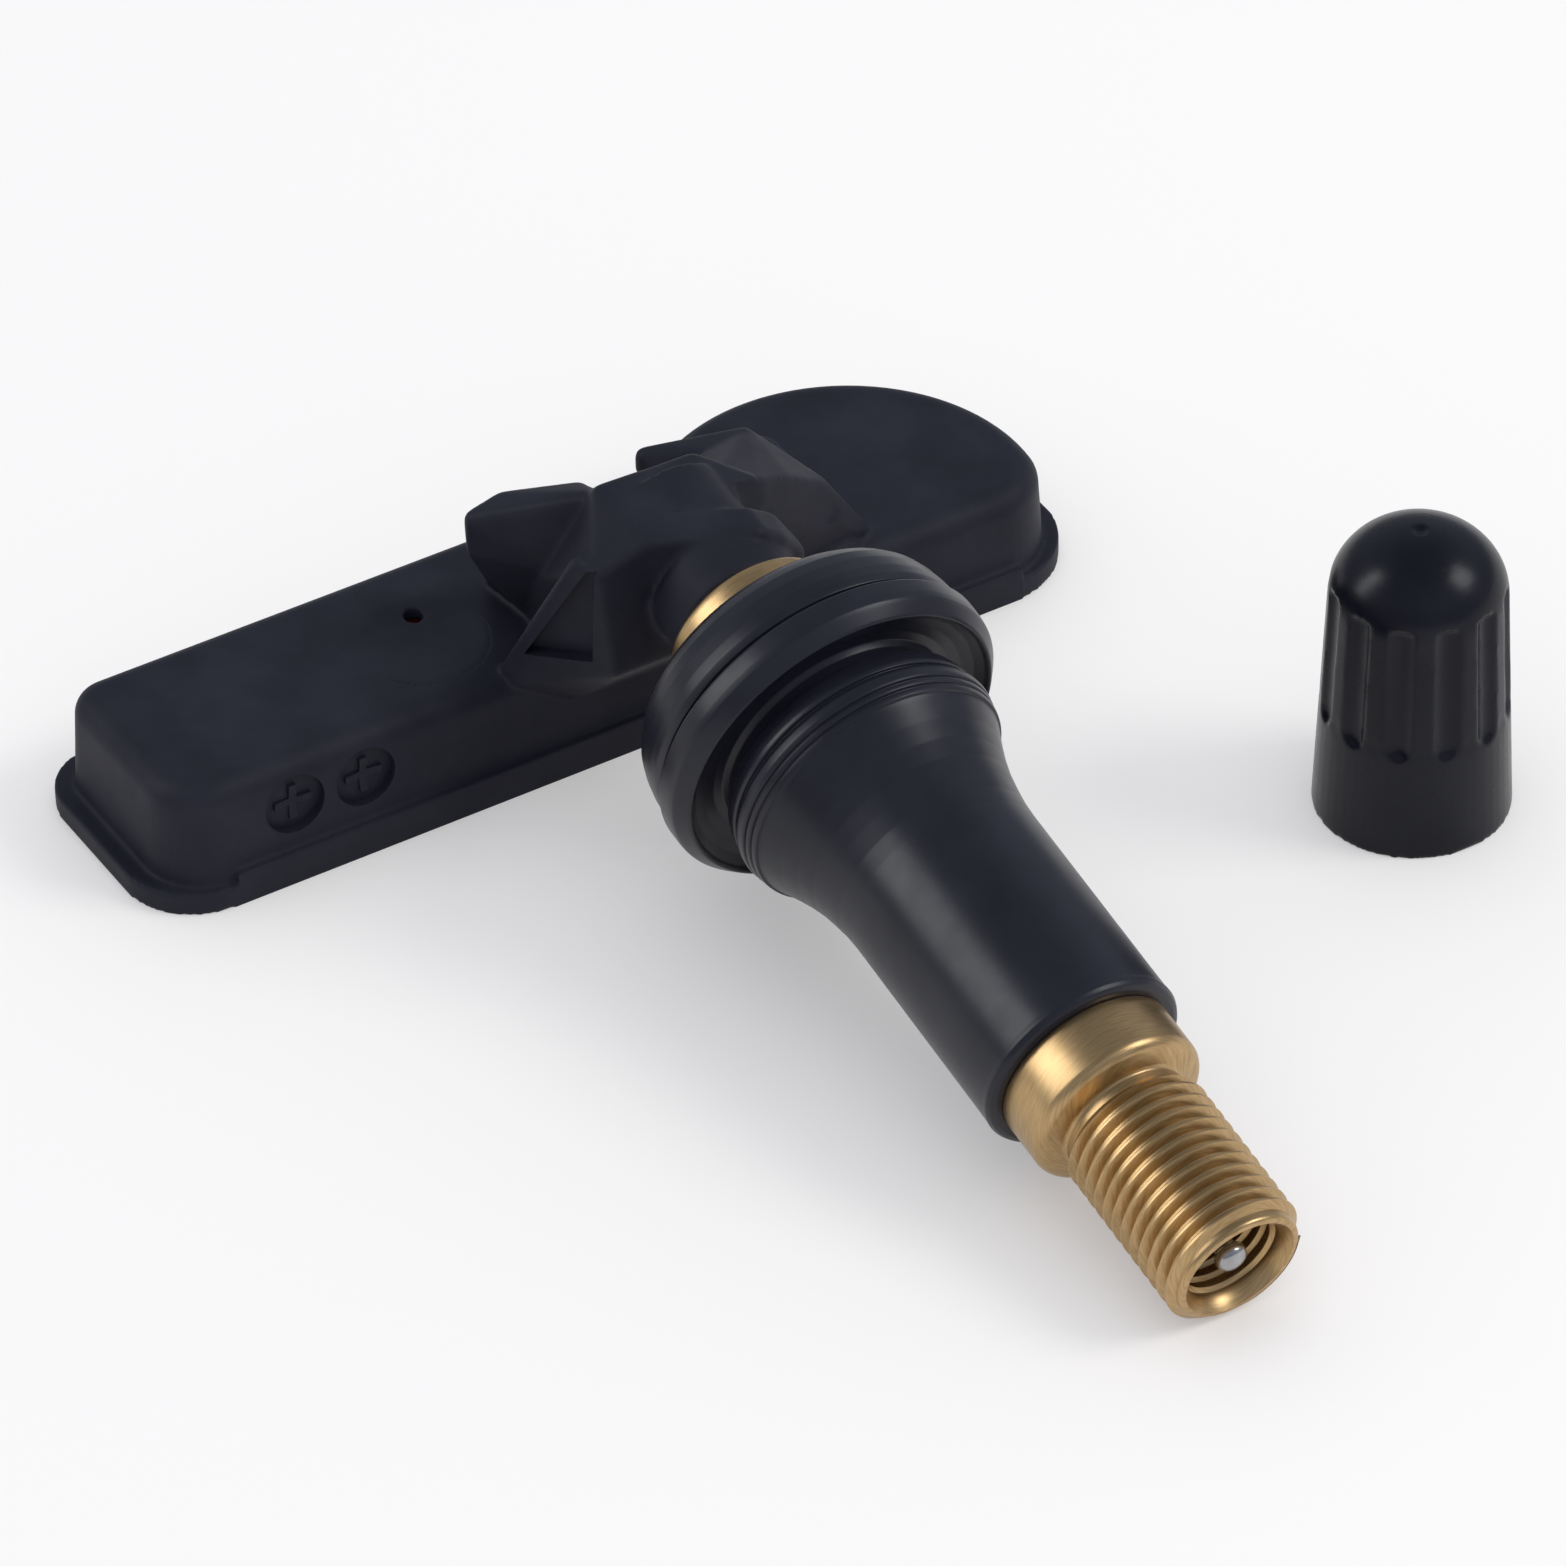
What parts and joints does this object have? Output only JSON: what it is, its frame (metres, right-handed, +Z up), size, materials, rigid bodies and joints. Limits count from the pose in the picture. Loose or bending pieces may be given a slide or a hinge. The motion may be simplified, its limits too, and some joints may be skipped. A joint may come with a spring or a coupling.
{
  "type": "tyre pressure sensor",
  "caption": "Snap-in tyre pressure sensor: moulded sensor case on a rubber valve stem with a brass thread, valve core with a sprung pin, and a fluted cap beside it.",
  "frame": {"origin": "on the base cover's resting face, 7 mm behind the rim's front edge, below the stem's centre line", "axes": "+X along the case to its round end, -Y the way the stem points, +Z up from the resting face"},
  "size_m": [0.0645, 0.0714, 0.0211],
  "materials": {
    "housing": "fine matte moulded",
    "cover": "matte moulded",
    "rubber": "smooth satin rubber",
    "cap": "satin moulded",
    "brass": "turned",
    "steel": "bright",
    "board": "lacquered",
    "seal": "smooth",
    "chip": "moulded"
  },
  "bodies": {
    "sensor": {"housing": "housing", "base_cover": "cover", "circuit_board": "board", "battery": "steel", "battery_tab_top": "steel", "battery_tab_bottom": "steel", "pressure_sensor": "chip", "port_seal": "seal", "antenna": "brass", "lf_coil": "chip", "crystal": "steel", "chip_parts": "chip", "valve_stem": "brass", "valve_rubber": "rubber", "stem_screw": "steel", "core_housing": "brass", "core_barrel": "brass", "core_seal": "seal", "core_spring": "steel", "valve_cap": "cap", "cap_seal": "seal"},
    "core_plunger": {"core_pin": "steel", "core_cup": "brass", "core_washer": "seal"}
  },
  "joints": [
    {"name": "core_pin_press", "type": "slide", "parent": "sensor", "child": "core_plunger", "axis": [0, 0.9781, 0.2079], "range_m": [0, 0.0015], "stiffness_N_per_m": 800, "springref_m": -0.0015, "deforming": ["core_spring"]}
  ]
}
